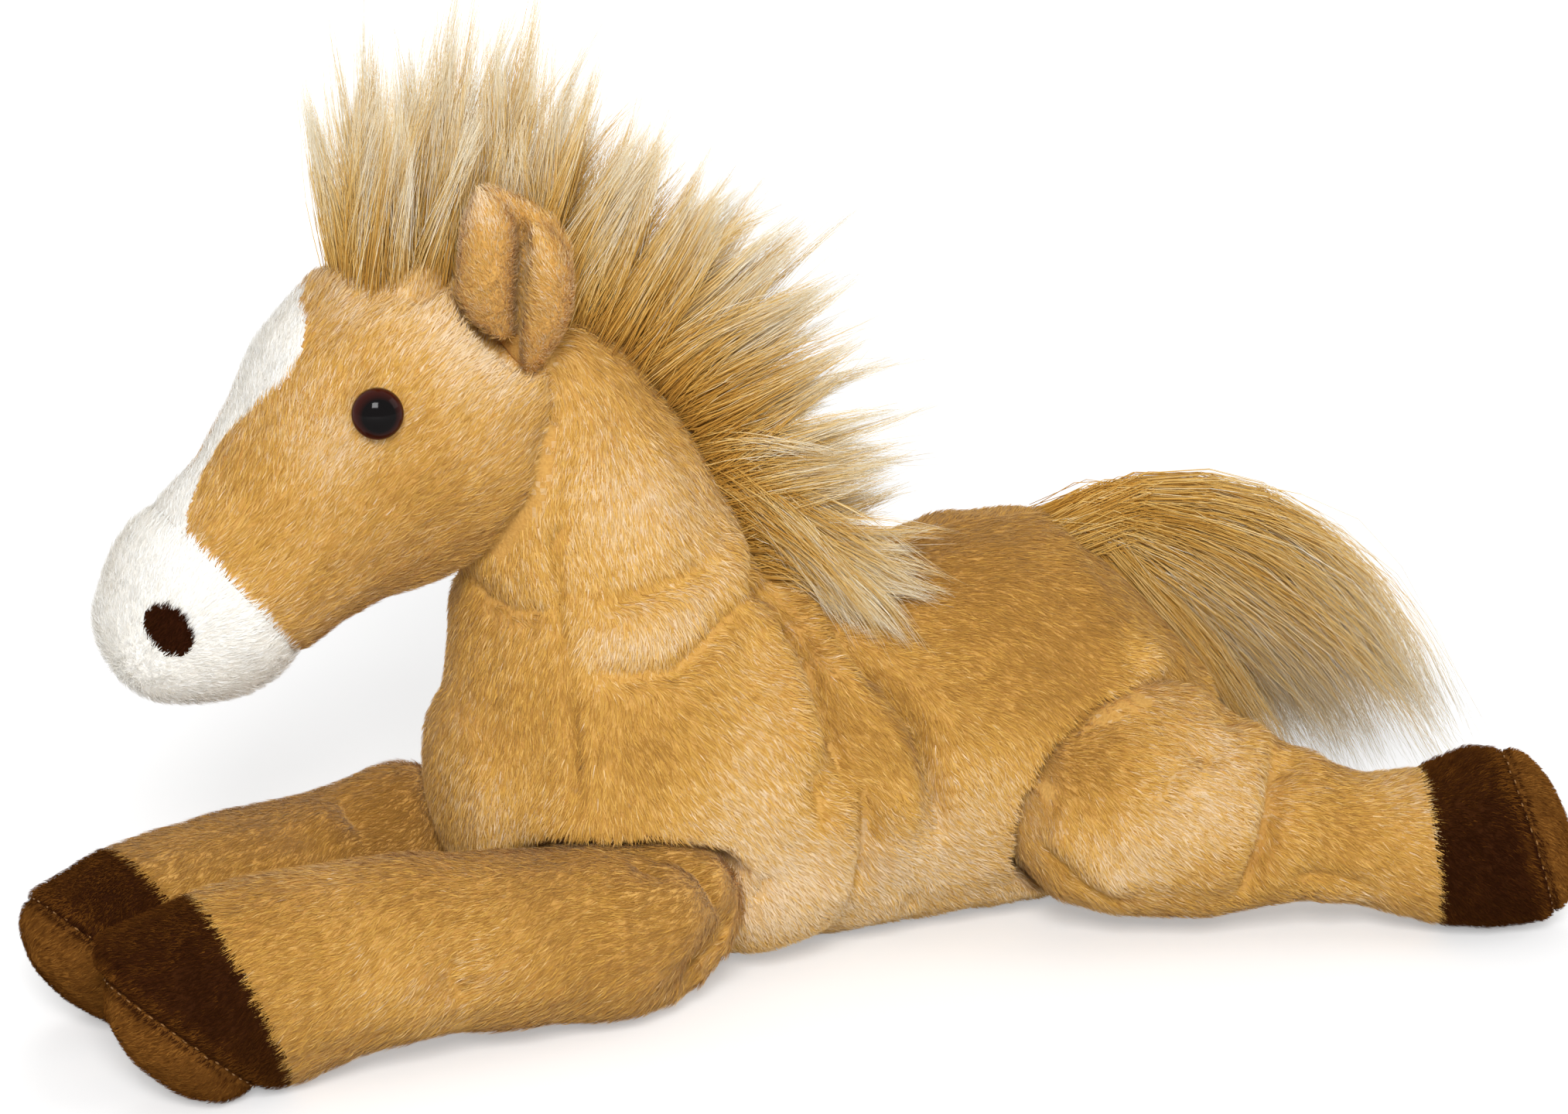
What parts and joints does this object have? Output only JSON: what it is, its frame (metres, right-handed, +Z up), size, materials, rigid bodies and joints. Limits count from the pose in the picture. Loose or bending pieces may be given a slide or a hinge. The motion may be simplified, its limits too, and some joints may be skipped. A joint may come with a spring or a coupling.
{
  "type": "plush horse",
  "caption": "Plush horse lying on its belly with forelegs stretched ahead and hind legs behind, a standing pile mane, a white blaze and muzzle, and brown hooves.",
  "frame": {"origin": "on the floor under the belly, in the middle plane", "axes": "the horse faces -X with its left side to -Y, +Z up"},
  "size_m": [0.3187, 0.1602, 0.2005],
  "materials": {
    "tan_plush": "short golden-tan plush",
    "cream_pile": "long cream pile with gold roots",
    "white_plush": "short off-white plush",
    "dark_brown_plush": "short dark brown plush",
    "brown_plush": "short brown plush",
    "eye_plastic": "polished, almost black",
    "washer_plastic": "plain moulded",
    "pouch_cloth": "thin woven cloth"
  },
  "bodies": {
    "torso": {"torso": "tan_plush", "pellet_pouch": "pouch_cloth", "neck": "tan_plush", "mane_crest": "cream_pile"},
    "head": {"head": "tan_plush", "muzzle": "white_plush", "blaze_panel": "white_plush", "mane_forelock": "cream_pile", "nostril_left": "dark_brown_plush", "nostril_right": "dark_brown_plush", "eye_left": "eye_plastic", "eye_right": "eye_plastic", "eye_washer_left": "washer_plastic", "eye_washer_right": "washer_plastic"},
    "ear_left": {"ear_left": "tan_plush"},
    "ear_right": {"ear_right": "tan_plush"},
    "foreleg_left": {"foreleg_left": "tan_plush", "foreleg_left_hoof": "dark_brown_plush", "foreleg_left_sole": "brown_plush"},
    "foreleg_right": {"foreleg_right": "tan_plush", "foreleg_right_hoof": "dark_brown_plush", "foreleg_right_sole": "brown_plush"},
    "hindleg_left": {"hindleg_left": "tan_plush", "hindleg_left_hoof": "dark_brown_plush", "hindleg_left_sole": "brown_plush"},
    "hindleg_right": {"hindleg_right": "tan_plush", "hindleg_right_hoof": "dark_brown_plush", "hindleg_right_sole": "brown_plush"},
    "tail": {"tail": "cream_pile"}
  },
  "joints": [
    {"name": "head_nod", "type": "hinge", "parent": "torso", "child": "head", "pos_m": [-0.055, 0, 0.116], "axis": [0, -1, 0], "range_deg": [-8, 8], "stiffness_Nm_per_rad": 0.6},
    {"name": "ear_left_fold", "type": "hinge", "parent": "head", "child": "ear_left", "pos_m": [-0.06022, -0.02088, 0.1334], "axis": [1, 0, 0], "range_deg": [-5, 30], "stiffness_Nm_per_rad": 0.01},
    {"name": "ear_right_fold", "type": "hinge", "parent": "head", "child": "ear_right", "pos_m": [-0.06022, 0.02088, 0.1334], "axis": [-1, 0, 0], "range_deg": [-5, 30], "stiffness_Nm_per_rad": 0.01},
    {"name": "shoulder_left_spread", "type": "hinge", "parent": "torso", "child": "foreleg_left", "pos_m": [-0.038, -0.031, 0], "axis": [0, 0, 1], "range_deg": [0, 35]},
    {"name": "shoulder_right_spread", "type": "hinge", "parent": "torso", "child": "foreleg_right", "pos_m": [-0.0435, 0.031, 0], "axis": [0, 0, -1], "range_deg": [0, 45]},
    {"name": "hip_left_spread", "type": "hinge", "parent": "torso", "child": "hindleg_left", "pos_m": [0.061, -0.027, 0], "axis": [0, 0, -1], "range_deg": [-8, 25]},
    {"name": "hip_right_spread", "type": "hinge", "parent": "torso", "child": "hindleg_right", "pos_m": [0.061, 0.027, 0], "axis": [0, 0, 1], "range_deg": [-8, 25]},
    {"name": "tail_lift", "type": "hinge", "parent": "torso", "child": "tail", "pos_m": [0.0598, 0, 0.08272], "axis": [0, -1, 0], "range_deg": [0, 50]}
  ]
}
